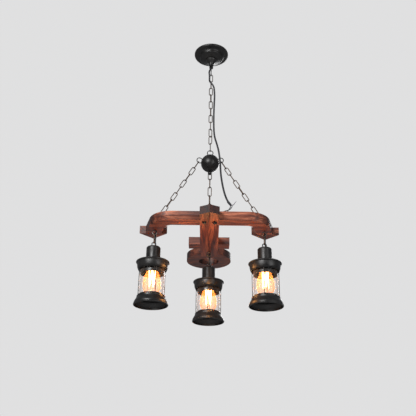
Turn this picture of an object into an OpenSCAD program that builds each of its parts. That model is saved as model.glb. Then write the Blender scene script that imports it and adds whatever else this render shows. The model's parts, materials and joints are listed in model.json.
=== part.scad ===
// Anchor chandelier: a flat timber anchor hung level from a ball on three chains,
// with a lantern under each arm and one under the ring.
// Millimetres, +Z up. Origin: centre of the canopy's ceiling face.
// The anchor's crown points to -Y and its ring to +Y.

/* [Ceiling canopy] */
// Diameter of the canopy's rim
canopy_d = 122; // [100:1:150]
// Height of the canopy from the ceiling to its nozzle seat
canopy_h = 26; // [22:1:34]
// Sheet thickness of the canopy and nozzle
sheet_t = 1.2; // [0.8:0.1:1.6]
// Height of the bell nozzle under the canopy
nozzle_h = 27; // [22:1:34]
// Radius of the bell nozzle's tip
nozzle_tip_r = 7; // [6:0.5:9]
// Radius of the bell nozzle where it meets the canopy
nozzle_r = 20; // [17:0.5:22]
// Distance between the centres of the ceiling screws
bracket_pitch = 84; // [70:1:88]
// Width of a ceiling screw slot
slot_w = 5; // [4:0.5:6]
// Length of a ceiling screw slot, end to end
slot_len = 12; // [8:1:14]
// Width of the ceiling bracket
bracket_w = 22; // [18:1:26]
// Thickness of the ceiling bracket
bracket_t = 2; // [1.5:0.5:3]
// Outer diameter of the hollow nipple that clamps the canopy
nipple_d = 10; // [9:0.5:11]
// Bore of the hollow nipple
nipple_bore = 7; // [6.4:0.2:7.4]
// Middle radius of the canopy loop's bend
loop_r = 8.5; // [7.5:0.5:10]
// Height of the canopy loop from the nozzle's tip to its wire
loop_h = 42; // [34:1:46]

/* [Chain] */
// Outer length of a chain link
link_len = 34.6; // [32:0.2:40]
// Outer width of a chain link
link_w = 14; // [13:0.5:17]
// Wire diameter of a chain link
link_wire = 2.8; // [2.2:0.1:3.2]
// Gap left between two links that bear on each other
link_play = 0.3; // [0.2:0.05:0.5]
// Number of links from the canopy to the ball
centre_links = 11; // [6:1:15]
// Number of links from the ball to each arm
side_links = 9; // [9:2:13]
// Number of links from the ball to the shank
rear_links = 8; // [8:1:9]

/* [Ball] */
// Radius of the ball
ball_r = 30.5; // [26:0.5:36]
// Wire diameter of the ball's rings, the canopy loop and the screw eyes
eye_wire = 3; // [2.5:0.1:3.4]
// Middle radius of the ball's rings
ball_ring_r = 9.5; // [8.5:0.5:11]
// Depth of a ring sunk into the ball
ring_bury = 1.8; // [1:0.1:2.6]
// Radius of the knob under the ball
knob_r = 6.5; // [5:0.5:8]

/* [Timber] */
// Thickness of the timber
timber_t = 25; // [20:1:32]
// Width of the shank
shank_w = 58; // [50:1:70]
// Distance from the ball's axis to the crown's shoulder
crown_y = 182; // [170:1:200]
// Length of the crown's point
crown_point = 16; // [8:1:24]
// Distance from the ball's axis to the far end of the shank
shank_end = 160; // [156:1:166]
// Width of an arm
arm_w = 47; // [42:1:52]
// Distance from the ball's axis to the outer edge of the arms
arm_y = 150; // [140:1:160]
// Sideways distance from the axis to the centre of an arm's bend
bend_x = 111; // [100:1:120]
// Outer radius of an arm's bend
bend_r = 72; // [66:1:80]
// Angle of an arm's bend
bend_a = 75; // [65:1:85]
// Distance from the ball's axis to the ends of the arms
arm_end = 36; // [30:1:42]
// Height of the arms' lower edge chamfer
chamfer_h = 12; // [6:1:14]
// Depth of the arms' lower edge chamfer
chamfer_d = 5; // [2:0.5:8]
// Width of a fluke
fluke_w = 85; // [76:1:100]
// Length of a fluke
fluke_len = 44; // [36:1:50]
// Sideways distance from the axis to a fluke's tip
fluke_x = 176; // [170:1:182]
// Length of the stock
stock_len = 132; // [110:1:160]
// Width of the stock
stock_w = 40; // [30:1:44]
// Distance from the ball's axis to the middle of the stock
stock_y = 70; // [60:1:72]
// Outer radius of the timber ring
ring_r = 76; // [70:1:82]
// Radius of the timber ring's hole
ring_hole_r = 34; // [28:1:38]
// Distance from the ball's axis to the centre of the timber ring
ring_y = 210; // [204:1:214]
// Gap left at a timber joint
joint_gap = 0.2; // [0.1:0.05:0.4]

/* [Fixings] */
// Middle radius of a screw eye
eye_r = 6.5; // [5.5:0.5:8]
// Free height between the timber and a screw eye's wire
eye_neck = 3; // [2:0.5:5]
// Depth of a screw eye in the timber
eye_depth = 11; // [8:0.5:12]
// Gap around a screw or pin in its hole
pin_gap = 0.1; // [0.05:0.05:0.2]
// Sideways distance of the crown bolts from the axis
bolt_x = 15; // [12:0.5:18]
// Diameter of a crown bolt's shank
bolt_d = 6; // [5:0.5:8]
// Diameter of a crown bolt's head
bolt_head_d = 14; // [11:0.5:16]
// Diameter of a lap joint's dowel
dowel_d = 8; // [6:1:10]

/* [Lantern] */
// Sideways distance of the side lanterns from the axis
lamp_x = 167; // [162:1:172]
// Distance of the side lanterns in front of the axis
lamp_front = 64; // [60:1:70]
// Distance of the middle lantern behind the axis
lamp_rear = 116; // [110:1:122]
// Diameter of the socket cover
cover_d = 43; // [40:1:50]
// Height of the socket cover
cover_h = 47; // [44:1:56]
// Radius of the collar's brim
brim_r = 50; // [48:0.5:54]
// Height of the collar's bowl
bowl_h = 23; // [20:1:28]
// Outer radius of the glass
glass_r = 37.5; // [36:0.5:39]
// Wall of the glass
glass_t = 1.8; // [1.2:0.1:2.4]
// Height of glass that shows between the collar and the base
glass_show = 78; // [70:1:90]
// Diameter of a guard rod
rod_d = 2.2; // [1.6:0.1:2.6]
// Number of guard rods
rod_count = 4; // [3:1:6]
// Radius of the base's lower rim
base_r = 51; // [48:0.5:54]
// Height of the base
base_h = 29; // [26:1:34]
// Radius of the base's opening
base_hole_r = 31; // [29:0.5:32]
// Largest radius of the bulb
bulb_r = 27; // [24:0.5:28]
// Length of the bulb's glass
bulb_len = 103; // [96:1:106]
// Radius of the bulb's screw cap
cap_r = 13; // [12.5:0.1:13.2]
// Length of the bulb's screw cap
cap_len = 26; // [24:0.5:27]

/* [Cords] */
// Diameter of the power cord
cord_d = 6; // [5:0.5:7]
// Diameter of a lantern's lead
lead_d = 4.4; // [3.6:0.2:5]
// Diameter of an inner wire of the power cord
wire_d = 2.4; // [2:0.2:3]

/* [Hidden] */
$fn = 48;

// Chains: a seat is the distance between the centres of two wires that bear on each other
pitch = link_len - 2 * link_wire - link_play;
seat = (eye_wire + link_wire) / 2 + link_play;
link_span = link_len - link_wire;
function chain_span(n) = link_span + (n - 1) * pitch - 2 * seat;

// Heights from the ceiling down
nozzle_tip = -canopy_h - nozzle_h;
loop_wire_z = nozzle_tip - loop_h;
ball_top_wire_z = loop_wire_z - chain_span(centre_links);
ball_ring_off = ball_r + ball_ring_r + eye_wire / 2 - ring_bury;
ball_z = ball_top_wire_z - ball_ring_r - ball_ring_off;

// Side chains: from a ring on the ball's equator to a screw eye over the lantern
side_a = -30;
side_ring = ball_ring_off * [cos(side_a), sin(side_a)];
side_eye = [lamp_x - 3, -lamp_front + 12];
side_az = atan2(side_eye[1] - side_ring[1], side_eye[0] - side_ring[0]);
side_reach = norm(side_eye - side_ring);
side_tilt = asin(side_reach / (chain_span(side_links) + ball_ring_r + eye_r));
side_dir = [sin(side_tilt) * cos(side_az), sin(side_tilt) * sin(side_az), -cos(side_tilt)];
side_start = [side_ring[0], side_ring[1], ball_z] + ball_ring_r * side_dir;
side_eye_c = side_start + (chain_span(side_links) + eye_r) * side_dir;

// The timber hangs where the side chains leave it
timber_top = side_eye_c[2] - eye_r - eye_neck;
timber_mid = timber_top - timber_t / 2;
timber_bot = timber_top - timber_t;

// Rear chain: from the ball's rear ring, nearly straight down to the shank
rear_start = [0, ball_ring_off, ball_z - ball_ring_r];
rear_drop = rear_start[2] - (timber_top + eye_neck + 2 * eye_r);
rear_tilt = acos(min(1, rear_drop / chain_span(rear_links)));
rear_y = ball_ring_off + chain_span(rear_links) * sin(rear_tilt);
rear_eye_z = rear_start[2] - chain_span(rear_links) * cos(rear_tilt) - eye_r;

// Lanterns: eye, one link, loop, cover
lamps = [[-lamp_x, -lamp_front], [lamp_x, -lamp_front], [0, lamp_rear]];
lamp_turn = [21, -12, -4];
lamp_eye_z = timber_bot - eye_neck - eye_r;
lamp_link_z = lamp_eye_z - eye_r + seat - link_span / 2;
lamp_loop_r = 6;
lamp_loop_z = lamp_link_z - link_span / 2 + seat - lamp_loop_r;
boss_h = 2;
cover_top = lamp_loop_z - lamp_loop_r - eye_wire / 2 - boss_h;
stem_d = 5;

// Lantern heights, measured down from the cover's top
collar_z = -cover_h;
rim_z = collar_z - 6;
lip_z = rim_z - bowl_h + 2;
base_z = lip_z - glass_show;
rod_ring_r = glass_r + rod_d / 2 + 0.9;
lip_r = rod_ring_r + rod_d / 2 + 0.3;
socket_r = 17;
cap_gap = 0.5;
cap_top = collar_z + cap_len + 1;
plate_t = 1.2;
holder_r = glass_r - glass_t - 0.3;

function arc(c, r, a0, a1, n = 8) =
    [for (i = [0:n]) c + r * [cos(a0 + (a1 - a0) * i / n), sin(a0 + (a1 - a0) * i / n)]];
function flare(r0, r1, z0, z1, n = 8) =
    [for (i = [0:n]) [r0 + (r1 - r0) * (1 - cos(180 * i / n)) / 2, z0 + (z1 - z0) * i / n]];
function moved(pts, v) = [for (p = pts) p + v];
function back(pts) = [for (i = [len(pts) - 1:-1:0]) pts[i]];

// One chain link, long axis Z, lying in the XZ plane
module link_body() {
    r = (link_w - link_wire) / 2;
    h = (link_len - link_w) / 2;
    for (s = [-1, 1]) {
        translate([s * r, 0, -h]) cylinder(d = link_wire, h = 2 * h, $fn = 24);
        translate([0, 0, s * h]) rotate([s * 90, 0, 0])
            rotate_extrude(angle = 180) translate([r, 0]) circle(d = link_wire, $fn = 24);
    }
}

// Each link turns square to its neighbour, give or take a few degrees
function link_turn(k, n, first) =
    first + 90 * k + 14 * sin(180 * k / max(1, n - 1)) * sin(97 * k);

// The centre chain twists a quarter turn over its last three links
function centre_turn(k) = 90 * k + 30 * max(0, k - centre_links + 4)
    + 12 * sin(180 * min(k, centre_links - 4) / (centre_links - 4)) * sin(97 * k);

// Links of a run that hangs from a wire at the origin along -Z
module chain_run(n, turn) {
    for (k = [0:n - 1]) translate([0, 0, seat - link_span / 2 - k * pitch])
        rotate([0, 0, link_turn(k, n, turn)]) link_body();
}

module wire_ring(r, wire) {
    rotate([90, 0, 0]) rotate_extrude() translate([r, 0]) circle(d = wire, $fn = 24);
}

// Screw eye in the XZ plane: ring centre at the origin, screw pointing up
module screw_eye(neck = eye_neck) {
    wire_ring(eye_r, eye_wire);
    translate([0, 0, eye_r]) cylinder(d = eye_wire, h = neck + eye_depth, $fn = 24);
}

module eye_hole() {
    translate([0, 0, eye_r]) cylinder(d = eye_wire + 2 * pin_gap, h = eye_neck + eye_depth + 1);
}

module at_side_eye(s) {
    translate([s * side_eye_c[0], side_eye_c[1], side_eye_c[2]])
        rotate([0, 0, s * side_az]) rotate([180, 0, 0]) children();
}

module at_rear_eye() {
    translate([0, rear_y, rear_eye_z]) rotate([180, 0, 0]) children();
}

module at_lamp_eyes() {
    for (p = lamps) translate([p[0], p[1], lamp_eye_z]) children();
}

// A tube swept along points, one ring of sides at each
function unit(v) = v / norm(v);
function tube_dir(p, i) = unit(p[min(i + 1, len(p) - 1)] - p[max(i - 1, 0)]);
function tube_ring(p, i, r, n) =
    let (t = tube_dir(p, i), a = unit(cross(t, [0.28, 0.96, 0.02])), b = cross(t, a))
    [for (k = [0:n - 1]) p[i] + r * (cos(360 * k / n) * a + sin(360 * k / n) * b)];
module tube(p, d, n = 8) {
    m = len(p);
    polyhedron(
        points = [for (i = [0:m - 1]) each tube_ring(p, i, d / 2, n)],
        faces = concat(
            [[for (k = [n - 1:-1:0]) k]],
            [for (i = [0:m - 2]) for (k = [0:n - 1]) each [
                [i * n + k, i * n + (k + 1) % n, (i + 1) * n + (k + 1) % n],
                [i * n + k, (i + 1) * n + (k + 1) % n, (i + 1) * n + k]]],
            [[for (k = [0:n - 1]) (m - 1) * n + k]]));
}

// Smooth points through the chosen ones
function between(p, i, t) =
    let (a = p[max(i - 1, 0)], b = p[i], c = p[i + 1], d = p[min(i + 2, len(p) - 1)])
    0.5 * (2 * b + (c - a) * t + (2 * a - 5 * b + 4 * c - d) * t * t
        + (3 * b - a - 3 * c + d) * t * t * t);
function smooth(p, n) =
    concat([for (i = [0:len(p) - 2]) for (k = [0:n - 1]) between(p, i, k / n)], [p[len(p) - 1]]);

// Routes of the cords
cord_top_pts = [[0, 0, -52], [0, 0, -58.5], [-2.2, 0, -65], [-5.5, -1.5, -74], [-7, -4, -83]];
cord_link_pts = [[-5.8, -4.8, -98.5], [-5.6, -4.8, -107], [-5.6, -4.9, -116]];
cord_pts = [
    [-5, -9.5, -126], [-1, -10.8, -134], [6, -10, -143], [11, -6, -155], [13, -4, -185],
    [12, -4, -220], [11, -4, -260], [11, -5, -300], [12, -8, -335], [15, -16, -365],
    [21, -28, -395], [27, -35, -425], [31, -38, -455], [33, -45, -485], [35, -58, -530],
    [40, -76, -578], [47, -94, -620], [56, -110, -652], [62, -118, -664],
];
wire_a_pts = [[63.3, -117.2, -664.2], [66.5, -121, -669.5], [67, -126, -675], [60, -129, -686],
              [46, -131, -692], [38.5, -131, -696], [38, -131, timber_top + 0.4]];
wire_b_pts = [[60.9, -119.1, -664.2], [62.6, -122.5, -669.5], [61, -124.5, -678],
              [54, -126, -690], [49.5, -127, -696], [49.5, -127, timber_top + 0.4]];
lead_x = 3.3;
lead_y = 8;
lead_pts = [[lead_x, lead_y, -3], [lead_x, lead_y, -20], [lead_x, lead_y, -36],
            [4, 8.6, -44], [5, 9, -52]];

module mounting_bracket() {
    color("silver") difference() {
        translate([-bracket_pitch / 2 - 10, -bracket_w / 2, -bracket_t])
            cube([bracket_pitch + 20, bracket_w, bracket_t]);
        for (s = [-1, 1]) translate([s * bracket_pitch / 2, 0, -bracket_t - 1])
            linear_extrude(bracket_t + 2) {
                square([slot_len - slot_w, slot_w], center = true);
                for (e = [-1, 1]) translate([e * (slot_len - slot_w) / 2, 0]) circle(d = slot_w);
            }
        translate([0, 0, -bracket_t - 1])
            cylinder(d = nipple_d + 2 * pin_gap, h = bracket_t + 2);
    }
}

// Stepped dome: rounded rim, cove, bead and a flat seat for the nozzle
canopy_r = canopy_d / 2;
canopy_line = concat(
    [[canopy_r, 0]],
    arc([canopy_r - 4, -2.5], 4, 0, -90),
    arc([canopy_r - 11, -15], 8, 90, 180),
    arc([canopy_r - 24, -15], 5, 0, -90),
    [[nozzle_r + 2, -canopy_h], [nipple_d / 2 + pin_gap, -canopy_h]]);

module canopy_cover() {
    color("#1b1b1b") rotate_extrude($fn = 96)
        polygon(concat(canopy_line, [[nipple_d / 2 + pin_gap, -canopy_h + sheet_t]],
            [for (i = [len(canopy_line) - 2:-1:1]) canopy_line[i] + sheet_t * [-1, 1]],
            [[canopy_r - sheet_t, 0]]));
}

module canopy_nipple() {
    color("gold") translate([0, 0, nozzle_tip - 3]) difference() {
        cylinder(d = nipple_d, h = -nozzle_tip + 2.5);
        translate([0, 0, -1]) cylinder(d = nipple_bore, h = -nozzle_tip + 5);
    }
}

module hex_nut(across, bore, h) {
    difference() {
        cylinder(d = across / cos(30), h = h, $fn = 6);
        translate([0, 0, -1]) cylinder(d = bore, h = h + 2);
    }
}

module nipple_nuts() {
    nut_h = 4;
    color("gold") for (z = [-bracket_t - nut_h, -canopy_h + sheet_t])
        translate([0, 0, z]) hex_nut(14, nipple_d + 2 * pin_gap, nut_h);
}

// Bell under the canopy: a short skirt and a hollow curve down to the tip
module canopy_nozzle() {
    sweep_r = nozzle_r - nozzle_tip_r + 8;
    bell = concat(
        [[nozzle_r, -canopy_h], [nozzle_r, -canopy_h - 2.5]],
        arc([nozzle_tip_r + sweep_r, nozzle_tip + 1.5], sweep_r, 122, 180),
        [[nozzle_tip_r, nozzle_tip]]);
    bore = nipple_d / 2 + pin_gap;
    color("#161616") rotate_extrude($fn = 72)
        polygon(concat(bell, [[bore, nozzle_tip], [bore, nozzle_tip + 2]],
            back(moved([for (i = [2:len(bell) - 4]) bell[i]], sheet_t * [-1, 1])),
            [[nozzle_r - sheet_t, -canopy_h - 2.5], [nozzle_r - sheet_t, -canopy_h]]));
}

// Yoke on the nipple with a long U of wire below it
module canopy_loop() {
    yoke_h = 5;
    leg = loop_h - loop_r;
    yoke_y = loop_r + eye_wire / 2 + 1 - nozzle_tip_r;
    color("#161616") difference() {
        union() {
            translate([0, 0, nozzle_tip - yoke_h]) linear_extrude(yoke_h) {
                square([2 * nozzle_tip_r, 2 * yoke_y], center = true);
                for (s = [-1, 1]) translate([0, s * yoke_y]) circle(nozzle_tip_r);
            }
            for (s = [-1, 1]) translate([0, s * loop_r, nozzle_tip - leg])
                cylinder(d = eye_wire, h = leg, $fn = 24);
            translate([0, 0, nozzle_tip - leg]) rotate([0, 0, 90]) rotate([-90, 0, 0])
                rotate_extrude(angle = 180) translate([loop_r, 0]) circle(d = eye_wire, $fn = 24);
        }
        translate([0, 0, nozzle_tip - 3]) cylinder(d = nipple_d + 2 * pin_gap, h = 4);
        translate([0, 0, nozzle_tip - yoke_h - 1]) cylinder(d = nipple_bore, h = yoke_h);
    }
}

module cord_top() {
    color("#101010") tube(smooth(cord_top_pts, 2), cord_d);
}

module top_link() {
    color("#2b211c") translate([0, 0, loop_wire_z]) chain_run(1, 0);
}

module centre_chain() {
    color("#2b211c") translate([0, 0, loop_wire_z]) for (k = [1:centre_links - 1])
        translate([0, 0, seat - link_span / 2 - k * pitch]) rotate([0, 0, centre_turn(k)]) link_body();
}

module cord_link() {
    color("#101010") tube(cord_link_pts, cord_d);
}

module ball_ring_set(wire) {
    translate([0, 0, ball_z + ball_ring_off]) wire_ring(ball_ring_r, wire);
    for (s = [-1, 1]) translate([s * side_ring[0], side_ring[1], ball_z])
        rotate([0, 0, s * side_az]) wire_ring(ball_ring_r, wire);
    translate([0, ball_ring_off, ball_z]) rotate([0, 0, 90]) wire_ring(ball_ring_r, wire);
}

module ball() {
    color("#141414") difference() {
        translate([0, 0, ball_z]) sphere(ball_r, $fn = 96);
        ball_ring_set(eye_wire + 2 * pin_gap);
        translate([0, 0, ball_z - ball_r - 1]) cylinder(d = 4 + 2 * pin_gap, h = 10);
    }
}

module ball_rings() {
    color("#161616") ball_ring_set(eye_wire);
}

module ball_knob() {
    color("#101010") translate([0, 0, ball_z - ball_r - knob_r - 0.2]) {
        sphere(knob_r);
        cylinder(d = 4, h = knob_r + 8);
    }
}

module side_chain(s) {
    color("#2b211c") translate([s * side_start[0], side_start[1], side_start[2]])
        rotate([0, 0, s > 0 ? side_az : 180 - side_az]) rotate([0, -side_tilt, 0])
            chain_run(side_links, 90);
}

module side_chain_left() { side_chain(-1); }
module side_chain_right() { side_chain(1); }

module rear_chain() {
    color("#2b211c") translate(rear_start) rotate([rear_tilt, 0, 0]) chain_run(rear_links, 0);
}

module top_eyes() {
    color("#2f2a26") {
        for (s = [-1, 1]) at_side_eye(s) screw_eye();
        at_rear_eye() screw_eye(max(eye_neck, rear_eye_z - eye_r - timber_top));
    }
}

module lamp_eyes() {
    color("#2f2a26") at_lamp_eyes() screw_eye();
}

module bolt_places() {
    for (s = [-1, 1]) translate([s * bolt_x, -arm_y + arm_w / 2, 0]) children();
}

module dowel_places() {
    for (s = [-1, 1]) {
        translate([s * 18, stock_y, 0]) children();
        translate([s * 15, ring_y - ring_r + 14, 0]) children();
    }
}

module through_holes() {
    bolt_places() translate([0, 0, timber_bot - 1])
        cylinder(d = bolt_d + 2 * pin_gap, h = timber_t + 2);
    dowel_places() translate([0, 0, timber_bot + 5])
        cylinder(d = dowel_d + 2 * pin_gap, h = timber_t);
    for (s = [-1, 1]) at_side_eye(s) eye_hole();
    at_rear_eye() eye_hole();
    at_lamp_eyes() eye_hole();
    for (p = lamps) translate([p[0] + lead_x, p[1] + lead_y, timber_bot - 1])
        cylinder(d = lead_d + 1, h = timber_t + 2);
}

module notch(x0, y0, x1, y1, upper) {
    z0 = upper ? timber_mid - joint_gap / 2 : timber_bot - 1;
    z1 = upper ? timber_top + 1 : timber_mid + joint_gap / 2;
    translate([x0, y0, z0]) cube([x1 - x0, y1 - y0, z1 - z0]);
}

// Shank: pointed crown, upper half cut for the arms and stock, end lapped into the ring
module shank() {
    w = shank_w / 2;
    g = joint_gap;
    color("#7a3b28") difference() {
        translate([0, 0, timber_bot]) linear_extrude(timber_t)
            polygon([[-w, -crown_y], [0, -crown_y - crown_point], [w, -crown_y],
                     [w, shank_end], [-w, shank_end]]);
        notch(-w - 1, -arm_y - g, w + 1, -arm_y + arm_w + g, true);
        notch(-w - 1, stock_y - stock_w / 2 - g, w + 1, stock_y + stock_w / 2 + g, true);
        translate([0, ring_y, timber_mid - g / 2]) cylinder(r = ring_r + g, h = timber_t);
        through_holes();
        translate([0, 0, timber_bot]) rotate([90, 0, 0]) translate([0, 0, -shank_end - 1])
            linear_extrude(crown_y + crown_point + shank_end + 2)
                polygon([[-1.2, -0.1], [1.2, -0.1], [0, 1.2]]);
    }
}

module arm_plan() {
    translate([0, -arm_y]) square([bend_x, arm_w]);
    translate([bend_x, -arm_y + bend_r]) {
        intersection() {
            difference() {
                circle(bend_r, $fn = 96);
                circle(bend_r - arm_w, $fn = 96);
            }
            polygon([[0, 0], [0, -2 * bend_r], 3 * bend_r * [sin(bend_a / 2), -cos(bend_a / 2)],
                     2 * bend_r * [sin(bend_a), -cos(bend_a)]]);
        }
        rotate(bend_a) translate([0, -bend_r]) square([2 * bend_r, arm_w]);
    }
}

module chamfer_cut() {
    polygon([[-1, -1], [-1, chamfer_h + chamfer_h / chamfer_d],
             [chamfer_d + chamfer_d / chamfer_h, -1]]);
}

// Right arm: half-depth tongue over the shank, bend, tenon into the fluke
module arm_right() {
    g = joint_gap;
    stop_a = bend_a - 8;
    color("#8a4630") difference() {
        union() {
            difference() {
                translate([0, 0, timber_bot]) linear_extrude(timber_t) arm_plan();
                translate([-1, -arm_end, timber_bot - 1]) cube([400, 200, timber_t + 2]);
            }
            translate([fluke_x - tenon_w / 2, -arm_end - 1, timber_mid - tenon_t / 2])
                cube([tenon_w, tenon_len + 1, tenon_t]);
        }
        notch(-1, -arm_y - 1, shank_w / 2 + g, -arm_y + arm_w + 1, false);
        translate([-1, -arm_y - 1, timber_bot]) cube([1 + g / 2, arm_w + 2, timber_t + 1]);
        translate([shank_w / 2 + g, -arm_y, timber_bot]) rotate([90, 0, 90])
            linear_extrude(bend_x - shank_w / 2 - g) chamfer_cut();
        translate([bend_x, -arm_y + bend_r, timber_bot]) rotate([0, 0, -90])
            rotate_extrude(angle = stop_a, $fn = 96) translate([bend_r, 0]) mirror([1, 0])
                chamfer_cut();
        through_holes();
    }
}

module arm_left() { mirror([1, 0, 0]) arm_right(); }

tenon_w = 22;
tenon_t = 8;
tenon_len = 14;

module fluke_right() {
    g = joint_gap;
    inner = fluke_x - fluke_w * 0.53;
    color("#7a3b28") difference() {
        translate([0, 0, timber_bot]) linear_extrude(timber_t)
            polygon([[inner, -arm_end + g], [inner + fluke_w, -arm_end + g],
                     [inner + fluke_w, -arm_end + g + 1.5], [fluke_x, -arm_end + fluke_len],
                     [inner, -arm_end + g + 1.5]]);
        translate([fluke_x - tenon_w / 2 - g, -arm_end - 1, timber_mid - tenon_t / 2 - g])
            cube([tenon_w + 2 * g, tenon_len + 1 + g, tenon_t + 2 * g]);
    }
}

module fluke_left() { mirror([1, 0, 0]) fluke_right(); }

module stock() {
    w = shank_w / 2 + joint_gap;
    color("#6d3222") difference() {
        translate([-stock_len / 2, stock_y - stock_w / 2, timber_bot])
            cube([stock_len, stock_w, timber_t]);
        notch(-w, stock_y - stock_w, w, stock_y + stock_w, false);
        through_holes();
    }
}

module ring() {
    w = shank_w / 2 + joint_gap;
    color("#6d3222") difference() {
        translate([0, ring_y, timber_bot]) cylinder(r = ring_r, h = timber_t, $fn = 96);
        translate([0, ring_y, timber_bot - 1])
            cylinder(r = ring_hole_r, h = timber_t + 2, $fn = 96);
        notch(-w, ring_y - ring_r - 1, w, shank_end + joint_gap, false);
        through_holes();
    }
}

// Dome-headed bolts from below, each with a nut on top
module crown_bolts() {
    head_h = 4;
    head_ball = (head_h * head_h + bolt_head_d * bolt_head_d / 4) / (2 * head_h);
    color("#111111") bolt_places() {
        intersection() {
            translate([0, 0, timber_bot - head_h + head_ball]) sphere(head_ball);
            translate([0, 0, timber_bot - head_h]) cylinder(d = bolt_head_d, h = head_h);
        }
        translate([0, 0, timber_bot - 1]) cylinder(d = bolt_d, h = timber_t + 7);
        translate([0, 0, timber_top]) hex_nut(bolt_d * 1.7, bolt_d + 2 * pin_gap, bolt_d * 0.7);
    }
}

module lap_dowels() {
    color("#b98a5a") dowel_places() translate([0, 0, timber_bot + 5.2])
        cylinder(d = dowel_d, h = timber_t - 5.2);
}

module power_cord() {
    color("#101010") tube(smooth(cord_pts, 2), cord_d);
}

module supply_leads() {
    color("#1a1a30") {
        tube(smooth(wire_a_pts, 2), wire_d);
        tube(smooth(wire_b_pts, 2), wire_d);
    }
}

// Lantern pieces, each drawn at the cover's top with +Z up
module lamp_loop() {
    color("#161616") {
        translate([0, 0, boss_h + eye_wire / 2 + lamp_loop_r]) wire_ring(lamp_loop_r, eye_wire);
        cylinder(r = 4, h = boss_h + 1);
        translate([0, 0, -9]) cylinder(d = stem_d, h = 10);
    }
}

module socket_cover() {
    color("#161616") difference() {
        rotate_extrude($fn = 72) polygon(concat(
            [[0, 0]], arc([cover_d / 2 - 5, -5], 5, 90, 0), [[cover_d / 2, collar_z]],
            [[cover_d / 2 - sheet_t, collar_z]],
            arc([cover_d / 2 - 5, -5], 5 - sheet_t, 0, 90), [[0, -sheet_t]]));
        translate([0, 0, -3]) cylinder(d = stem_d + 2 * pin_gap, h = 4);
        translate([6, 9, -3]) cylinder(d = lead_d + 1, h = 4);
    }
}

module lamp_socket() {
    top = -sheet_t - 0.1;
    flange = collar_z - plate_t - 0.1;
    color("#222222") difference() {
        union() {
            translate([0, 0, flange - 3]) cylinder(r = socket_r, h = top - flange + 3);
            translate([0, 0, flange - 3]) cylinder(r = socket_r + 4, h = 3);
        }
        translate([0, 0, flange - 4]) cylinder(r = cap_r + cap_gap, h = cap_top + 1 - flange + 4);
        translate([0, 0, -11]) cylinder(d = stem_d + 2 * pin_gap, h = 12);
    }
}

// Spun collar: plate, rolled brim, bowl and the inner ring that centres the glass
module collar() {
    bead = 2.5;
    swell = brim_r - 3.5 - lip_r - plate_t;
    bowl = concat(
        [[socket_r + 0.3, collar_z], [brim_r - 6, collar_z - 0.4]],
        arc([brim_r - bead, collar_z - 3], bead, 90, -80, 6),
        [for (a = [0:15:90]) [lip_r + plate_t + swell * cos(a), rim_z - (rim_z - lip_z - 2) * sin(a)]],
        [[lip_r + plate_t + 0.8, lip_z + 1.4], [lip_r + plate_t, lip_z], [lip_r, lip_z]]);
    inside = concat(
        [for (a = [90:-15:0]) [lip_r + swell * cos(a), rim_z - (rim_z - lip_z - 2) * sin(a)]],
        [[lip_r + swell, collar_z - plate_t]]);
    color("#141414") rotate_extrude($fn = 96) polygon(concat(bowl, inside,
        [[holder_r, collar_z - plate_t], [holder_r, lip_z - 12], [holder_r - plate_t, lip_z - 12],
         [holder_r - plate_t, collar_z - plate_t], [socket_r + 0.3, collar_z - plate_t]]));
}

module glass() {
    top = lip_z + 8;
    color([0.9, 0.95, 1, 0.3]) translate([0, 0, base_z + 0.1]) difference() {
        cylinder(r = glass_r, h = top - base_z, $fn = 96);
        translate([0, 0, -1]) cylinder(r = glass_r - glass_t, h = top - base_z + 2, $fn = 96);
    }
}

module rod_places() {
    for (k = [0:rod_count - 1]) rotate([0, 0, 360 * k / rod_count])
        translate([rod_ring_r, 0, 0]) children();
}

// Rods run from the collar's inside down through the base's plate
module guard_rods() {
    color("#1a1a1a") rod_places() translate([0, 0, base_z - 3])
        cylinder(d = rod_d, h = collar_z - plate_t - base_z + 3, $fn = 24);
}

// Flared base: plate with a ring that centres the glass, hollow below, rolled lip
module lamp_base() {
    t = 1.6;
    shoulder = rod_ring_r + rod_d / 2 + 1.6;
    skirt = flare(shoulder, base_r - 1, base_z - 4, base_z - base_h + 5);
    outer = concat(arc([shoulder - 3, base_z - 3], 3, 90, 0, 5), skirt,
        arc([base_r - 2.5, base_z - base_h + 2.5], 2.5, 40, -90, 6));
    inner = back(moved(skirt, [-t, -t]));
    color("#141414") difference() {
        rotate_extrude($fn = 96) polygon(concat(
            [[base_hole_r, base_z], [holder_r - plate_t, base_z], [holder_r - plate_t, base_z + 4],
             [holder_r, base_z + 4], [holder_r, base_z]],
            outer, inner, [[base_hole_r + 3, base_z - 3], [base_hole_r + 1.5, base_z - 6],
            [base_hole_r, base_z - 6]]));
        rod_places() translate([0, 0, base_z - 8]) cylinder(d = rod_d + 2 * pin_gap, h = 9);
    }
}

// Bulb: screw cap, hollow glass and a cage of four filament rods on a stem
module bulb() {
    neck = cap_r - 0.6;
    top = cap_top - cap_len - 0.1;
    wall = 0.8;
    ball_c = top - bulb_len + bulb_r;
    side = concat([[neck, top], [neck, top - 6]],
        flare(neck, bulb_r, top - 8, ball_c + 6));
    round = arc([0, ball_c], bulb_r, 0, -90, 10);
    inner_round = arc([0, ball_c], bulb_r - wall, -90, 0, 10);
    color([1, 0.75, 0.4, 0.5]) rotate_extrude($fn = 72)
        polygon(concat(side, round, inner_round, back(moved(side, [-wall, 0]))));
    color("gold") rotate_extrude($fn = 72) polygon([
        [0, cap_top], [4.5, cap_top], [5, cap_top - 2], [cap_r - 2, cap_top - 5],
        [cap_r, cap_top - 7], [cap_r, cap_top - cap_len], [0, cap_top - cap_len]]);
    color("orange") {
        translate([0, 0, top - 24]) cylinder(r = 3, h = 24);
        translate([0, 0, top - 25]) cylinder(r = 8, h = 1.5);
        translate([0, 0, top - 76]) cylinder(r = 8, h = 1.5);
        for (k = [0:3]) rotate([0, 0, 90 * k + 30]) translate([7, 0, top - 75])
            cylinder(r = 0.9, h = 51, $fn = 16);
    }
}

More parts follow.
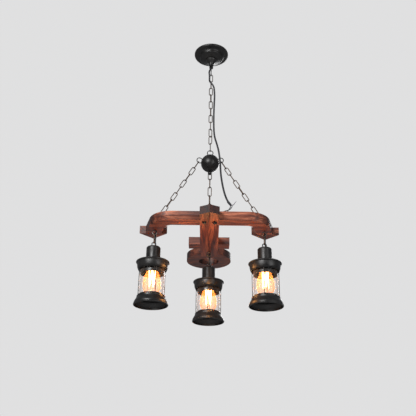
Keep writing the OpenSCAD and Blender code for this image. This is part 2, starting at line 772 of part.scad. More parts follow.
module lamp_piece(piece, i) {
    p = lamps[i];
    if (piece == "link") color("#2b211c") translate([p[0], p[1], lamp_link_z])
        rotate([0, 0, 90]) link_body();
    if (piece == "lead") color("#101010")
        tube([for (q = lead_pts) q + [p[0], p[1], timber_bot]], lead_d);
    translate([p[0], p[1], cover_top]) {
        if (piece == "loop") lamp_loop();
        if (piece == "cover") socket_cover();
        if (piece == "socket") lamp_socket();
        rotate([0, 0, lamp_turn[i]]) {
            if (piece == "collar") collar();
            if (piece == "glass") glass();
            if (piece == "rods") guard_rods();
            if (piece == "base") lamp_base();
            if (piece == "bulb") bulb();
        }
    }
}

mounting_bracket();
canopy_cover();
canopy_nipple();
nipple_nuts();
canopy_nozzle();
canopy_loop();
cord_top();
top_link();
cord_link();
centre_chain();
ball();
ball_rings();
ball_knob();
side_chain_left();
side_chain_right();
rear_chain();
top_eyes();
shank();
arm_left();
arm_right();
fluke_left();
fluke_right();
stock();
ring();
crown_bolts();
lap_dowels();
lamp_eyes();
power_cord();
supply_leads();
lamp_piece("link", 0);  // link_left
lamp_piece("lead", 0);  // lead_left
lamp_piece("loop", 0);  // loop_left
lamp_piece("cover", 0);  // cover_left
lamp_piece("socket", 0);  // socket_left
lamp_piece("collar", 0);  // collar_left
lamp_piece("glass", 0);  // glass_left
lamp_piece("rods", 0);  // rods_left
lamp_piece("base", 0);  // base_left
lamp_piece("bulb", 0);  // bulb_left
lamp_piece("link", 1);  // link_right
lamp_piece("lead", 1);  // lead_right
lamp_piece("loop", 1);  // loop_right
lamp_piece("cover", 1);  // cover_right
lamp_piece("socket", 1);  // socket_right
lamp_piece("collar", 1);  // collar_right
lamp_piece("glass", 1);  // glass_right
lamp_piece("rods", 1);  // rods_right
lamp_piece("base", 1);  // base_right
lamp_piece("bulb", 1);  // bulb_right
lamp_piece("link", 2);  // link_middle
lamp_piece("lead", 2);  // lead_middle
lamp_piece("loop", 2);  // loop_middle
lamp_piece("cover", 2);  // cover_middle
lamp_piece("socket", 2);  // socket_middle
lamp_piece("collar", 2);  // collar_middle
lamp_piece("glass", 2);  // glass_middle
lamp_piece("rods", 2);  // rods_middle
lamp_piece("base", 2);  // base_middle
lamp_piece("bulb", 2);  // bulb_middle
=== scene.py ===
"""Anchor chandelier with three lanterns: looks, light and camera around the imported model."""

import json
import math

import bmesh
import bpy
from mathutils import Matrix, Vector


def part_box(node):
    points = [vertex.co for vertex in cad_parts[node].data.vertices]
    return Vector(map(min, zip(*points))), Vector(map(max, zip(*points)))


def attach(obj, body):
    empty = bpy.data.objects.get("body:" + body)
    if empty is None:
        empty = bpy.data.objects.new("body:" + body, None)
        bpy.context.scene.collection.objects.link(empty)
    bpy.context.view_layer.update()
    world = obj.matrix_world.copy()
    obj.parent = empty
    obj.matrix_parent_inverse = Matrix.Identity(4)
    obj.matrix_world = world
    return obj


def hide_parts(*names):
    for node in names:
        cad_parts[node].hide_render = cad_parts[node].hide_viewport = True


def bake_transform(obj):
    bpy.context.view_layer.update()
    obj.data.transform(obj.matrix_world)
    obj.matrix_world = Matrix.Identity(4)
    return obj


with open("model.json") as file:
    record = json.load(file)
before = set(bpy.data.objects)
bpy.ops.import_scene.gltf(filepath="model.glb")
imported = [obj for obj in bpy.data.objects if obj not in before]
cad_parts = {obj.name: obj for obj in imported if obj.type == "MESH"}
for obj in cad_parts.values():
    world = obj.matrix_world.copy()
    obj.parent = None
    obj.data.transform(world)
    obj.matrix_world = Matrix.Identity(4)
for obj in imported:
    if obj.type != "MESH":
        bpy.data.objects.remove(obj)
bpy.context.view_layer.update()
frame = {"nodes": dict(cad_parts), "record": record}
MM = 0.001
SIDES = ("left", "right", "middle")
JOINTS = {joint["name"]: joint for joint in frame["record"]["behaviour"]["joints"]}
LAMPS = {side: JOINTS[f"bulb_turn_{side}"]["pos_m"][:2] for side in SIDES}
TIMBER_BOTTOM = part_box("stock")[0][2]
TIMBER_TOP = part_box("stock")[1][2]
COVER_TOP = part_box("cover_left")[1][2]


def add_object(name, data):
    obj = bpy.data.objects.new(name, data)
    bpy.context.scene.collection.objects.link(obj)
    return obj


# ------------------------------------------------------------------ camera
FOCAL_PX, FRAME_PX, SENSOR_MM = 600.0, 416.0, 36.0
CAMERA_PLACE = (-0.005, -1.751, -1.445)
CAMERA_PITCH, CAMERA_ROLL = math.radians(25.2), math.radians(0.75)
CAMERA_REACH = 50

camera_data = bpy.data.cameras.new("camera")
camera_data.sensor_width = SENSOR_MM
camera_data.lens = FOCAL_PX / FRAME_PX * SENSOR_MM
camera_data.clip_end = CAMERA_REACH
camera = add_object("camera", camera_data)
camera.matrix_world = (
    Matrix.Translation(CAMERA_PLACE)
    @ Matrix.Rotation(math.pi / 2 + CAMERA_PITCH, 4, "X")
    @ Matrix.Rotation(CAMERA_ROLL, 4, "Z")
)
bpy.context.scene.camera = camera

# ------------------------------------------------------------------ materials
MIX_COLOUR_A, MIX_COLOUR_B, MIX_COLOUR_OUT = 6, 7, 2  # the Mix node's colour sockets
FINE_GRAIN = 0.0002


class Nodes:
    """A node material built by short calls."""

    def __init__(self, name, **inputs):
        self.material = bpy.data.materials.new(name)
        self.material.use_nodes = True
        self.tree = self.material.node_tree
        self.shader = self.tree.nodes["Principled BSDF"]
        self.set(**inputs)

    def set(self, **inputs):
        for name, value in inputs.items():
            self.shader.inputs[name.replace("_", " ")].default_value = value

    def add(self, kind, **settings):
        node = self.tree.nodes.new(kind)
        for key, value in settings.items():
            setattr(node, key, value)
        return node

    def link(self, output, socket):
        self.tree.links.new(output, socket)

    def drive(self, name, output):
        self.link(output, self.shader.inputs[name])

    def place(self, scale=(1, 1, 1), turn=0.0):
        """Object coordinates, turned about the vertical and then stretched."""
        coordinates = self.add("ShaderNodeTexCoord")
        turned = self.add("ShaderNodeMapping")
        turned.inputs["Rotation"].default_value = (0, 0, turn)
        stretched = self.add("ShaderNodeMapping")
        stretched.inputs["Scale"].default_value = scale
        self.link(coordinates.outputs["Object"], turned.inputs["Vector"])
        self.link(turned.outputs["Vector"], stretched.inputs["Vector"])
        return stretched.outputs["Vector"]

    def noise(self, vector, scale, detail, rough=0.6, distortion=0.0):
        node = self.add("ShaderNodeTexNoise")
        node.inputs["Scale"].default_value = scale
        node.inputs["Detail"].default_value = detail
        node.inputs["Roughness"].default_value = rough
        node.inputs["Distortion"].default_value = distortion
        self.link(vector, node.inputs["Vector"])
        return node.outputs["Fac"]

    def ramp(self, factor, stops):
        node = self.add("ShaderNodeValToRGB")
        elements = node.color_ramp.elements
        while len(elements) < len(stops):
            elements.new(0.5)
        for element, (place, colour) in zip(elements, stops):
            element.position = place
            element.color = (*colour, 1)
        self.link(factor, node.inputs["Fac"])
        return node.outputs["Color"]

    def math(self, kind, a, b):
        node = self.add("ShaderNodeMath", operation=kind)
        for socket, value in zip(node.inputs, (a, b)):
            if isinstance(value, (int, float)):
                socket.default_value = value
            else:
                self.link(value, socket)
        return node.outputs[0]

    def multiply(self, a, b, amount=1.0):
        node = self.add("ShaderNodeMix", data_type="RGBA", blend_type="MULTIPLY")
        node.inputs[0].default_value = amount
        self.link(a, node.inputs[MIX_COLOUR_A])
        self.link(b, node.inputs[MIX_COLOUR_B])
        return node.outputs[MIX_COLOUR_OUT]

    def bump(self, height, strength, distance=FINE_GRAIN):
        node = self.add("ShaderNodeBump")
        node.inputs["Strength"].default_value = strength
        node.inputs["Distance"].default_value = distance
        self.link(height, node.inputs["Height"])
        self.drive("Normal", node.outputs["Normal"])

    def cloud(self, pattern, colours, roughness):
        """Colour and roughness that follow one soft pattern."""
        self.drive("Base Color", self.ramp(pattern, colours))
        greys = [(place, grey(value)) for place, value in roughness]
        self.drive("Roughness", self.ramp(pattern, greys))

    def end_grain(self, turn):
        """1 where a surface faces along the grain, 0 where it runs with it."""
        coordinates = self.add("ShaderNodeTexCoord")
        along = self.add("ShaderNodeVectorMath", operation="DOT_PRODUCT")
        self.link(coordinates.outputs["Normal"], along.inputs[0])
        along.inputs[1].default_value = (math.cos(turn), -math.sin(turn), 0)
        return self.math("ABSOLUTE", along.outputs["Value"], 0)


def grey(value):
    return (value, value, value)


def scaled(colour, factor):
    return tuple(min(1, channel * factor) for channel in colour)


def painted_iron(name, paint, sheen):
    """Matte powder coat: fine grain, cloudy sheen."""
    look = Nodes(name, Specular_IOR_Level=0.34)
    here = look.place()
    clouds = look.noise(here, scale=45, detail=5)
    look.cloud(clouds, [(0.38, paint), (0.72, sheen)], [(0.3, 0.30), (0.75, 0.50)])
    look.bump(look.noise(here, scale=1600, detail=3), strength=0.25)
    return look.material


def bare_metal(name, colour, rough, metallic=1.0):
    """Metal with soft dark clouds and a fine grain."""
    look = Nodes(name, Metallic=metallic)
    here = look.place()
    clouds = look.noise(here, scale=120, detail=5)
    look.cloud(clouds, [(0.32, scaled(colour, 0.55)), (0.68, colour)],
               [(0.3, rough * 0.8), (0.8, rough * 1.3)])
    look.bump(look.noise(here, scale=900, detail=3), strength=0.2)
    return look.material


def moulded(name, colour, rough):
    """Moulded plastic or rubber: nearly even, with a fine grain."""
    look = Nodes(name)
    here = look.place()
    clouds = look.noise(here, scale=90, detail=3)
    look.cloud(clouds, [(0.3, scaled(colour, 0.8)), (0.7, colour)],
               [(0.3, rough * 0.85), (0.8, rough * 1.15)])
    look.bump(look.noise(here, scale=1400, detail=2), strength=0.15)
    return look.material


GRAIN_DARK, GRAIN_MID = (0.034, 0.0075, 0.0045), (0.175, 0.040, 0.018)
GRAIN_LIGHT = (0.47, 0.150, 0.072)
PORE, CLOUD, END_GRAIN_AND_SHADE = (0.24, 0.17, 0.15), (0.42, 0.36, 0.33), (0.20, 0.13, 0.12)


def timber(name, turn, shift, tone=1.0, lift=1.0):
    """Stained, waxed timber: grain along x turned back by turn, dark pores, and darker end grain,
    which is partly the stain's own depth and partly painted shade.
    """
    look = Nodes(name, Specular_IOR_Level=0.42)
    long, fine, broad = (5.0, 70.0, 70.0), (26.0, 900.0, 900.0), (3.0, 16.0, 16.0)
    figure = look.noise(look.place(long, turn), 1.0 + shift * 0.07, 7, 0.62, 1.1)
    pores = look.noise(look.place(fine, turn), 1.0, 4, 0.55, 0.2)
    clouds = look.noise(look.place(broad, turn), 1.3 + shift * 0.1, 4, 0.5, 0.6)
    colour = look.ramp(figure, [(0.33, scaled(GRAIN_DARK, tone)), (0.48, scaled(GRAIN_MID, tone)),
                                (0.66, scaled(GRAIN_LIGHT, tone * lift))])
    colour = look.multiply(colour, look.ramp(pores, [(0.36, PORE), (0.52, grey(1.0))]), 0.9)
    colour = look.multiply(colour, look.ramp(clouds, [(0.30, CLOUD), (0.62, grey(1.1))]), 0.75)
    # End-grain faces are darkened: partly the darker stain that end grain takes, partly painted
    # shade, as on the crown's pointed end.
    ends_and_shade = look.ramp(look.end_grain(turn), [(0.62, grey(1.0)), (0.84, END_GRAIN_AND_SHADE)])
    look.drive("Base Color", look.multiply(colour, ends_and_shade))
    look.drive("Roughness", look.ramp(figure, [(0.3, grey(0.42)), (0.75, grey(0.62))]))
    height = look.math("ADD", look.math("MULTIPLY", pores, 0.5), look.math("MULTIPLY", figure, 0.5))
    look.bump(height, strength=0.55, distance=0.0009)
    return look.material


def clear_glass(name, centre, edge, colour, glow=None, strength=0.0):
    """Thin glass: nearly clear face on, denser towards its edges, faint streaks."""
    look = Nodes(name, Roughness=0.06, Specular_IOR_Level=0.45)
    weight = look.add("ShaderNodeLayerWeight")
    weight.inputs["Blend"].default_value = 0.35
    streaks = look.noise(look.place((30, 30, 4)), scale=3, detail=3)
    alpha = look.ramp(weight.outputs["Facing"], [(0.15, grey(centre)), (0.93, grey(edge))])
    alpha = look.multiply(alpha, look.ramp(streaks, [(0.3, grey(0.8)), (0.7, grey(1.0))]))
    look.drive("Alpha", alpha)
    look.drive("Base Color", look.ramp(streaks, [(0.3, scaled(colour, 0.93)), (0.7, colour)]))
    if glow:
        look.set(Emission_Color=(*glow, 1), Emission_Strength=strength)
    look.material.surface_render_method = "BLENDED"
    return look.material


def glowing(name, colour, strength):
    look = Nodes(name, Roughness=0.5, Base_Color=(*colour, 1), Emission_Strength=strength)
    heat = look.noise(look.place(), scale=260, detail=3)
    look.drive("Emission Color", look.ramp(heat, [(0.2, scaled(colour, 0.8)), (0.8, colour)]))
    return look.material


IRON = painted_iron("black_iron", (0.0042, 0.0039, 0.0037), (0.0105, 0.0092, 0.0082))
CHAIN = bare_metal("chain_bronze", (0.11, 0.078, 0.06), 0.42, 0.85)
EYES = bare_metal("eye_steel", (0.16, 0.135, 0.12), 0.38, 0.9)
ZINC = bare_metal("zinc", (0.55, 0.55, 0.56), 0.35)
BRASS = bare_metal("brass", (0.62, 0.44, 0.18), 0.3)
CORD = moulded("black_cord", (0.016, 0.016, 0.018), 0.55)
STRAND = moulded("wire_tail", (0.10, 0.075, 0.12), 0.5)
HOLDER = moulded("lamp_holder", (0.02, 0.018, 0.016), 0.35)
DOWEL = timber("dowel_wood", 0.0, 3, 1.5, 1.2)
GLASS = clear_glass("clear_glass", 0.02, 0.42, (0.20, 0.15, 0.12))
BULB = clear_glass("bulb_glass", 0.16, 0.50, (0.75, 0.34, 0.12), (1.0, 0.40, 0.10), 0.55)
STEM = clear_glass("stem_glass", 0.25, 0.7, (0.9, 0.8, 0.65))
FILAMENT = glowing("filament", (1.0, 0.62, 0.26), 16.0)
# Each part has its own copy of the timber. The darker tones of the flukes, stock and ring are
# painted shade.
TIMBER = {
    "shank": timber("timber_shank", math.pi / 2, 0, 0.80),
    "arm_left": timber("timber_arm_left", 0.0, 1, 0.95, 1.05),
    "arm_right": timber("timber_arm_right", 0.0, 2, 1.0, 1.05),
    "fluke_left": timber("timber_fluke_left", 0.3, 3, 0.66),
    "fluke_right": timber("timber_fluke_right", -0.3, 4, 0.66),
    "stock": timber("timber_stock", 0.0, 5, 0.60),
    "ring": timber("timber_ring", 0.15, 6, 0.55),
}


def finish_of(node):
    if node in TIMBER:
        return TIMBER[node]
    if node == "mounting_bracket":
        return ZINC
    if node in ("canopy_nipple", "nipple_nuts"):
        return BRASS
    if node in ("top_eyes", "lamp_eyes"):
        return EYES
    if node == "lap_dowels":
        return DOWEL
    if "chain" in node or node.startswith("link_") or node == "top_link":
        return CHAIN
    if node.startswith("socket"):
        return HOLDER
    if node.startswith("glass"):
        return GLASS
    if "cord" in node or "lead" in node:
        return CORD
    return IRON


for node_name, node_object in frame["nodes"].items():
    finish = finish_of(node_name)
    if node_object.material_slots:
        for material_slot in node_object.material_slots:
            material_slot.material = finish
    else:
        node_object.data.materials.append(finish)


# ------------------------------------------------------------------ meshes and point lamps
def new_mesh(name, vertices, faces, material, smooth=True):
    mesh = bpy.data.meshes.new(name)
    mesh.from_pydata([tuple(v) for v in vertices], [], faces)
    mesh.update()
    obj = add_object(name, mesh)
    mesh.materials.append(material)
    for polygon in mesh.polygons:
        polygon.use_smooth = smooth
    shell = bmesh.new()
    shell.from_mesh(mesh)
    bmesh.ops.recalc_face_normals(shell, faces=shell.faces)
    shell.to_mesh(mesh)
    shell.free()
    return obj


def revolve(name, profile, centre, material, segments):
    """A closed profile of (radius, height) in millimetres turned about a vertical axis."""
    count = len(profile)
    vertices, faces = [], []
    for i in range(segments):
        a = 2 * math.pi * i / segments
        for r, z in profile:
            vertices.append((centre[0] + r * MM * math.cos(a), centre[1] + r * MM * math.sin(a),
                             centre[2] + z * MM))
    for i in range(segments):
        j = (i + 1) % segments
        for k in range(count):
            m = (k + 1) % count
            faces.append((i * count + k, j * count + k, j * count + m, i * count + m))
    return new_mesh(name, vertices, faces, material)


def metres(points):
    return [Vector(p) * MM for p in points]


def smooth_path(points, steps):
    """A curve through the points, with this many steps from each point to the next."""
    out = []
    last = len(points) - 1
    for i in range(last):
        a, b, c, d = (Vector(points[max(0, min(last, i + k))]) for k in (-1, 0, 1, 2))
        for k in range(steps):
            t = k / steps
            out.append(0.5 * (2 * b + (c - a) * t + (2 * a - 5 * b + 4 * c - d) * t * t
                              + (3 * b - a - 3 * c + d) * t ** 3))
    return out + [Vector(points[-1])]


def sweep(name, points, radii, material, sides):
    """A round tube along points in metres, with no twist between its rings."""
    last = len(points) - 1
    vertices, faces = [], []
    normal = (points[1] - points[0]).normalized().orthogonal().normalized()
    for i, (point, radius) in enumerate(zip(points, radii)):
        along = (points[min(last, i + 1)] - points[max(0, i - 1)]).normalized()
        normal = (normal - along * normal.dot(along)).normalized()
        across = along.cross(normal)
        for k in range(sides):
            a = 2 * math.pi * k / sides
            vertices.append(point + radius * (math.cos(a) * normal + math.sin(a) * across))
    for i in range(last):
        for k in range(sides):
            m = (k + 1) % sides
            here, there = i * sides, (i + 1) * sides
            faces.append((here + k, here + m, there + m, there + k))
    faces.append(tuple(range(sides - 1, -1, -1)))
    faces.append(tuple(last * sides + k for k in range(sides)))
    return new_mesh(name, vertices, faces, material)


def tube(name, points, radius, material, sides):
    """A tube of one radius."""
    return sweep(name, points, [radius] * len(points), material, sides)


def join(name, parts):
    """One mesh out of several."""
    whole = bmesh.new()
    for part in parts:
        whole.from_mesh(part.data)
    mesh = bpy.data.meshes.new(name)
    whole.to_mesh(mesh)
    whole.free()
    mesh.materials.append(parts[0].data.materials[0])
    obj = add_object(name, mesh)
    for part in parts:
        bpy.data.objects.remove(part)
    return obj


def point_lamp(name, place, energy, colour, radius):
    data = bpy.data.lights.new(name, "POINT")
    data.energy = energy
    data.color = colour
    data.shadow_soft_size = radius
    add_object(name, data).location = place


# ------------------------------------------------------------------ cords
# Diameters are in metres, routes in millimetres.
CORD_D, LEAD_D, WIRE_D = 0.006, 0.0044, 0.0024
CORD_SIDES, LEAD_SIDES, WIRE_SIDES = 14, 12, 10
CORD_STEPS, LEAD_STEPS, WIRE_STEPS = 2, 5, 3
MOST_PATH_POINTS = 40
TOP_ROUTE = [(0, 0, -52), (0, 0, -58.5), (-2.2, 0, -65), (-5.5, -1.5, -74), (-7, -4, -83),
             (-6.4, -4.8, -91), (-5.8, -4.8, -98.5), (-5.6, -4.8, -107)]
LOW_ROUTE = [(-5.6, -4.8, -107), (-5.6, -4.9, -116), (-5, -9.5, -126), (-1, -10.8, -134),
             (6, -10, -143), (11, -6, -155), (13, -4, -185), (12, -4, -220), (11, -4, -260),
             (11, -5, -300), (12, -8, -335), (15, -16, -365), (21, -28, -395), (27, -35, -425),
             (31, -38, -455), (33, -45, -485), (35, -58, -530), (40, -76, -578),
             (47, -94, -620), (56, -110, -652), (62, -118, -664)]
WIRE_SEAT = TIMBER_TOP / MM + 0.4
WIRE_A = [(63.3, -117.2, -664.2), (66.5, -121, -669.5), (67, -126, -675), (60, -129, -686),
          (46, -131, -692), (38.5, -131, -696), (38, -131, WIRE_SEAT)]
WIRE_B = [(60.9, -119.1, -664.2), (62.6, -122.5, -669.5), (61, -124.5, -678),
          (54, -126, -690), (49.5, -127, -696), (49.5, -127, WIRE_SEAT)]


def free_cord(name, route, diameter, steps, sides):
    """A cord along a route in millimetres: a fine tube. A coarser path along the route is also
    worked out, but nothing uses it.
    """
    piece = tube(name, smooth_path(metres(route), 2 * steps), diameter / 2, CORD, sides)
    path = smooth_path(metres(route), steps)
    if len(path) > MOST_PATH_POINTS:
        path = path[:1] + path[1 - MOST_PATH_POINTS:]
    return piece


upper_cord = free_cord("cord_upper", TOP_ROUTE, CORD_D, CORD_STEPS, CORD_SIDES)
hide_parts("cord_top", "cord_link")
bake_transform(upper_cord)

# The sleeve's stations: distance past the cord's end and radius, in millimetres.
SLEEVE = [(-18, 3.1), (-16, 3.7), (-8, 3.8), (0, 3.6), (3, 3.3), (4.5, 2.8)]
SLEEVE_SIDES = 16
before_end, cord_end = metres(LOW_ROUTE[-2:])
end_run = (cord_end - before_end).normalized()
sleeve = sweep("cord_sleeve", [cord_end + end_run * (past * MM) for past, radius in SLEEVE],
               [radius * MM for past, radius in SLEEVE], CORD, SLEEVE_SIDES)
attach(sleeve, "pendant")
lower_cord = free_cord("cord_lower", LOW_ROUTE, CORD_D, CORD_STEPS, CORD_SIDES)
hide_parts("power_cord")
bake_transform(lower_cord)

# In metres: the strands' radius, where they leave the cord's end, and their straight start.
STRAND_R, STRAND_SIDES, STRAND_STEPS = 0.0006, 8, 6
STRAND_ROOT, STRAND_STRAIGHT, STRAND_BEND_AT = 0.003, 0.002, 0.45
STRAND_SAG = Vector((2, 0, -3)) * MM
STRAND_TIPS = metres([(15, -4, 9), (13, -1, 5), (17, -2, 12)])
STRAND_LOOKS = (STRAND, ZINC, STRAND)
for k, (reach, strand_look) in enumerate(zip(STRAND_TIPS, STRAND_LOOKS)):
    root = cord_end + end_run * STRAND_ROOT
    tip = root + reach
    bend = root.lerp(tip, STRAND_BEND_AT) + STRAND_SAG
    line = smooth_path([root, root + end_run * STRAND_STRAIGHT, bend, tip], STRAND_STEPS)
    strand = tube(f"strand_{k}", line, STRAND_R, strand_look, STRAND_SIDES)
    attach(strand, "pendant")

for wire_name, wire_route in (("supply_wire_a", WIRE_A), ("supply_wire_b", WIRE_B)):
    wire = free_cord(wire_name, wire_route, WIRE_D, WIRE_STEPS, WIRE_SIDES)
    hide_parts("supply_leads")
    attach(wire, "pendant")


def hang_lead(side):
    """A lantern's lead in two pieces that meet beside its link."""
    x, y = LAMPS[side][0] / MM, LAMPS[side][1] / MM
    low, cover = TIMBER_BOTTOM / MM, COVER_TOP / MM
    hinges = [JOINTS[f"{hinge}_swing_{side}"]["pos_m"][2] for hinge in ("eye", "lantern")]
    waist = sum(hinges) / 2 / MM
    upper = [(3.3, 8, low + 5), (3.3, 8, low - 3), (3.3, 8, low - 14), (3.3, 8, waist)]
    lower = [(3.3, 8, waist), (3.3, 8, waist - 7), (4.2, 8.5, waist - 15), (5.6, 9, cover + 4),
             (6, 9, cover - 3.5)]
    halves = (("top", upper, "pendant", f"link_{side}", low - 1, waist + 3),
              ("low", lower, f"link_{side}", f"lantern_{side}", waist - 3, cover + 3))
    for half, offsets, above, below, start, end in halves:
        route = [(x + dx, y + dy, z) for dx, dy, z in offsets]
        lead = free_cord(f"lead_{half}_{side}", route, LEAD_D, LEAD_STEPS,
                         LEAD_SIDES)
        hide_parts(f"lead_{side}")
        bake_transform(lead)


for side in SIDES:
    hang_lead(side)

# ------------------------------------------------------------------ bulbs
# In millimetres, with heights from the top of the socket's cover.
AXIS_R = 0.3
CAP_TOP, CAP_R, CAP_LEN, CAP_SIDES = -20.0, 13.0, 26.0, 48
THREAD_R, THREAD_DEPTH, THREAD_PITCH = CAP_R - 0.9, 0.85, 3.6
THREAD_TOP, THREAD_STEP, THREAD_POINTS = CAP_TOP - 6, 0.3, 54
GLASS_TOP, GLASS_WALL, GLASS_SIDES = -46.1, 0.7, 72
NECK_R, NECK_STRAIGHT, NECK_LEN, NECK_STEPS, NECK_LOW = 12.4, 6, 8, 16, 6
BULB_R, BULB_LEN, BULB_STEPS, BULB_TIP_R = 27.0, 103.0, 14, 0.4
BALL_Z = GLASS_TOP - BULB_LEN + BULB_R
STEM_LINE = [(AXIS_R, -46), (8, -46), (5, -52), (3.2, -58), (3.0, -64), (3.6, -66), (3.0, -68),
             (1.6, -72), (1.4, -118), (AXIS_R, -119)]
STEM_SIDES = 24
# Radius and height of the filament's upper and lower bends, and the heights of their hooks' roots.
FILAMENT_BENDS, HOOK_ROOTS = ((10.0, -66), (8.6, -124)), (-64, -118)
FILAMENT_SIDES, FILAMENT_STEPS, FILAMENT_RUNS, FILAMENT_ROUND = 8, 10, 8, 0.94
FILAMENT_TURN = {"left": 0.4, "right": 1.1, "middle": 0.0}
HOOK_SIDES, HOOK_STEPS, HOOK_REACH, HOOK_ARCH = 6, 5, 0.97, Vector((0, 0, 1.5))
# In metres: the radii of both wires, and the depth and radius of the point lamp.
FILAMENT_R, HOOK_R = 0.00085, 0.00035
GLOW_DEPTH, GLOW_R = 0.098, 0.012
GLOW_ENERGY, GLOW_COLOUR = 0.16, (1.0, 0.46, 0.16)


def glass_profile(inset):
    """Half the glass's outline from its neck down to its tip, set in by a wall for its inside."""
    top, low = GLASS_TOP - NECK_LEN, BALL_Z + NECK_LOW
    neck = [(NECK_R, GLASS_TOP), (NECK_R, GLASS_TOP - NECK_STRAIGHT)]
    for i in range(NECK_STEPS + 1):
        widening = (1 - math.cos(math.pi * i / NECK_STEPS)) / 2
        neck.append((NECK_R + (BULB_R - NECK_R) * widening, top + (low - top) * i / NECK_STEPS))
    ball = []
    for i in range(BULB_STEPS):
        a = math.pi / 2 * i / BULB_STEPS
        ball.append((BULB_R * math.cos(a), BALL_Z - BULB_R * math.sin(a)))
    ball.append((BULB_TIP_R, BALL_Z - BULB_R))
    profile = [(r - inset, z) for r, z in neck]
    for i, (r, z) in enumerate(ball, start=1):
        profile.append((max(BULB_TIP_R, r - inset), z + inset * min(1, i / BULB_STEPS)))
    return profile


def cap_profile():
    """Outline of the hollow screw cap: its contact, its threaded shell and its inside."""
    contact = [(AXIS_R, CAP_TOP), (4.2, CAP_TOP), (4.8, CAP_TOP - 1.6), (9.5, CAP_TOP - 3.6),
               (CAP_R - 1.2, CAP_TOP - 5.4)]
    shell = []
    for k in range(THREAD_POINTS):
        drop = THREAD_STEP * k
        wave = math.sin(math.pi * 2 * drop / THREAD_PITCH)
        shell.append((THREAD_R + THREAD_DEPTH * wave, THREAD_TOP - drop))
    inside = [(CAP_R - 0.7, CAP_TOP - CAP_LEN), (CAP_R - 1.6, CAP_TOP - CAP_LEN),
              (CAP_R - 2.4, CAP_TOP - 7), (AXIS_R, CAP_TOP - 4)]
    return contact + shell + inside


def filament_bends(turn):
    """Where the filament turns back, up and down in a cage around the stem."""
    bends = []
    for k in range(FILAMENT_RUNS + 1):
        a = 2 * math.pi * k / FILAMENT_RUNS * FILAMENT_ROUND + turn
        radius, height = FILAMENT_BENDS[k % 2]
        bends.append(Vector((radius * math.cos(a), radius * math.sin(a), height)))
    return bends


def make_filament(name, bends, centre):
    points = []
    for a, b in zip(bends, bends[1:]):
        points += [a.lerp(b, t / FILAMENT_STEPS) for t in range(FILAMENT_STEPS)]
    points.append(bends[-1])
    return tube(name, [centre + p * MM for p in points], FILAMENT_R, FILAMENT, FILAMENT_SIDES)


def make_hooks(name, bends, centre):
    """The thin wires that run from the stem to each bend of the filament."""
    hooks = []
    for k, bend in enumerate(bends):
        root = Vector((0, 0, HOOK_ROOTS[k % 2]))
        tip = bend * HOOK_REACH
        middle = root.lerp(tip, 0.5) + HOOK_ARCH
        tip.z = bend.z
        line = [centre + p * MM for p in smooth_path([root, middle, tip], HOOK_STEPS)]
        hooks.append(tube(f"{name}_{k}", line, HOOK_R, ZINC, HOOK_SIDES))
    return join(name, hooks)


def make_bulb(side):
    centre = (*LAMPS[side], COVER_TOP)
    glass_line = glass_profile(0.0) + glass_profile(GLASS_WALL)[::-1]
    glass = revolve(f"bulb_glass_{side}", glass_line, centre, BULB, GLASS_SIDES)
    cap = revolve(f"bulb_cap_{side}", cap_profile(), centre, BRASS, CAP_SIDES)
    stem = revolve(f"bulb_stem_{side}", STEM_LINE, centre, STEM, STEM_SIDES)
    bends = filament_bends(FILAMENT_TURN[side])
    filament = make_filament(f"bulb_filament_{side}", bends, Vector(centre))
    hooks = make_hooks(f"bulb_hooks_{side}", bends, Vector(centre))
    for piece, slot in ((glass, "bulb_glass"), (cap, "brass"), (stem, "clear_glass"),
                        (filament, "bulb_glass"), (hooks, "zinc")):
        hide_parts(f"bulb_{side}")
        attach(piece, f"bulb_{side}")
    point_lamp(f"glow_{side}", (*LAMPS[side], COVER_TOP - GLOW_DEPTH), GLOW_ENERGY, GLOW_COLOUR,
               GLOW_R)


for side in SIDES:
    make_bulb(side)

# ------------------------------------------------------------------ crown bolts
# In millimetres, with heights from the timber's underside, apart from the bolts' places.
HEAD_R, HEAD_H, HEAD_SUNK, HEAD_SIDES, DOME_STEPS = 7.2, 6.4, 0.3, 48, 12
BOLT_R, BOLT_PROUD, BOLT_START, BOLT_SIDES = 3.0, 6, 0.2, 24
NUT_R, NUT_H, NUT_EDGE, NUT_SIDES = 5.6, 4.2, 0.5, 6
TIMBER_THICK = (TIMBER_TOP - TIMBER_BOTTOM) / MM
BOLT_END = TIMBER_THICK + BOLT_PROUD
NUT_TOP = TIMBER_THICK + NUT_H
BOLT_X, BOLT_Y = 0.015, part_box("crown_bolts")[0][1] + 0.007  # metres


def head_profile():
    """A domed head below the timber. Its rim is there twice, which keeps its edge crisp."""
    dome = [(AXIS_R, HEAD_SUNK), (HEAD_R - 0.4, HEAD_SUNK), (HEAD_R, 0.0)]
    for i in range(DOME_STEPS + 1):
        a = math.pi / 2 * i / DOME_STEPS
        dome.append((max(AXIS_R, HEAD_R * math.cos(a)), -HEAD_H * math.sin(a)))
    return dome


SHAFT_LINE = [(AXIS_R, BOLT_START), (BOLT_R, BOLT_START), (BOLT_R, BOLT_END - 0.6),
              (BOLT_R - 0.7, BOLT_END), (AXIS_R, BOLT_END)]
NUT_LINE = [(BOLT_R, TIMBER_THICK), (NUT_R - NUT_EDGE, TIMBER_THICK),
            (NUT_R, TIMBER_THICK + NUT_EDGE), (NUT_R, NUT_TOP - NUT_EDGE),
            (NUT_R - NUT_EDGE, NUT_TOP), (BOLT_R, NUT_TOP)]
for side, sign in (("left", -1), ("right", 1)):
    seat = (sign * BOLT_X, BOLT_Y, TIMBER_BOTTOM)
    for form, profile, sides in (("head", head_profile(), HEAD_SIDES),
                                 ("shaft", SHAFT_LINE, BOLT_SIDES),
                                 ("nut", NUT_LINE, NUT_SIDES)):
        bolt_piece = revolve(f"bolt_{form}_{side}", profile, seat, IRON, sides)
        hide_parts("crown_bolts")
        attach(bolt_piece, "pendant")

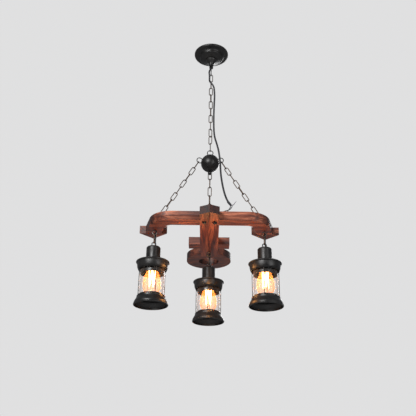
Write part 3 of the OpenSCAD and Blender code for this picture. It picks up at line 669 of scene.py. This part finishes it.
# ------------------------------------------------------------------ floor, world and lamps
BACKGROUND = 0.745
SKY_COLOUR, SKY_STRENGTH = (0.93, 0.94, 1.0, 1), 0.30
FLOOR_Z, FLOOR_R, FLOOR_SIDES, FLOOR_PLAIN_SHARE = -2.4, 18.0, 96, 0.8


def floor_material():
    """Pale floor: mostly the background's tone to the camera, and lit paint for the shadow."""
    look = Nodes("floor_paint", Roughness=0.9)
    paint = look.noise(look.place(), scale=3, detail=3)
    look.drive("Base Color", look.ramp(paint, [(0.3, grey(0.73)), (0.7, grey(0.75))]))
    plain = look.add("ShaderNodeEmission")
    plain.inputs["Color"].default_value = (*grey(BACKGROUND), 1)
    rays = look.add("ShaderNodeLightPath")
    share = look.math("MULTIPLY", rays.outputs["Is Camera Ray"], FLOOR_PLAIN_SHARE)
    mixed = look.add("ShaderNodeMixShader")
    look.link(share, mixed.inputs[0])
    look.link(look.shader.outputs[0], mixed.inputs[1])
    look.link(plain.outputs[0], mixed.inputs[2])
    look.link(mixed.outputs[0], look.tree.nodes["Material Output"].inputs["Surface"])
    return look.material


def make_floor():
    rim = []
    for k in range(FLOOR_SIDES):
        a = 2 * math.pi * k / FLOOR_SIDES
        rim.append((FLOOR_R * math.cos(a), FLOOR_R * math.sin(a), FLOOR_Z))
    return new_mesh("floor", rim, [tuple(range(FLOOR_SIDES))], floor_material(), smooth=False)


def make_world():
    """Soft light from all round, with a plain pale tone where the camera sees past the object."""
    world = bpy.data.worlds.new("world")
    world.use_nodes = True
    nodes, links = world.node_tree.nodes, world.node_tree.links
    sky = nodes["Background"]
    sky.inputs["Color"].default_value = SKY_COLOUR
    sky.inputs["Strength"].default_value = SKY_STRENGTH
    shown = nodes.new("ShaderNodeBackground")
    shown.inputs["Color"].default_value = (BACKGROUND, BACKGROUND, BACKGROUND * 1.005, 1)
    shown.inputs["Strength"].default_value = 1.0
    rays = nodes.new("ShaderNodeLightPath")
    seen = nodes.new("ShaderNodeMath")
    seen.operation = "MAXIMUM"
    links.new(rays.outputs["Is Camera Ray"], seen.inputs[0])
    links.new(rays.outputs["Is Transmission Ray"], seen.inputs[1])
    chosen = nodes.new("ShaderNodeMixShader")
    links.new(seen.outputs[0], chosen.inputs[0])
    links.new(sky.outputs[0], chosen.inputs[1])
    links.new(shown.outputs[0], chosen.inputs[2])
    links.new(chosen.outputs[0], nodes["World Output"].inputs["Surface"])
    return world


def area_lamp(name, place, target, size, energy):
    data = bpy.data.lights.new(name, "AREA")
    data.shape = "DISK"
    data.size = size
    data.energy = energy
    lamp = add_object(name, data)
    lamp.location = place
    lamp.rotation_euler = (Vector(target) - Vector(place)).to_track_quat("-Z", "Y").to_euler()


make_floor()
bpy.context.scene.world = make_world()
area_lamp("key", (-1.2, -2.4, 0.1), (0, 0, -0.7), size=1.0, energy=84)
area_lamp("fill", (1.7, -2.0, -0.7), (0, 0, -0.7), size=1.4, energy=24)
point_lamp("warm_bounce", (0.0, -0.075, COVER_TOP - 0.09), 1.3, (1.0, 0.42, 0.12), 0.03)
area_lamp("rim", (0.6, 2.4, 0.3), (0, 0, -0.6), size=1.4, energy=30)
bpy.context.scene.view_settings.view_transform = "Standard"
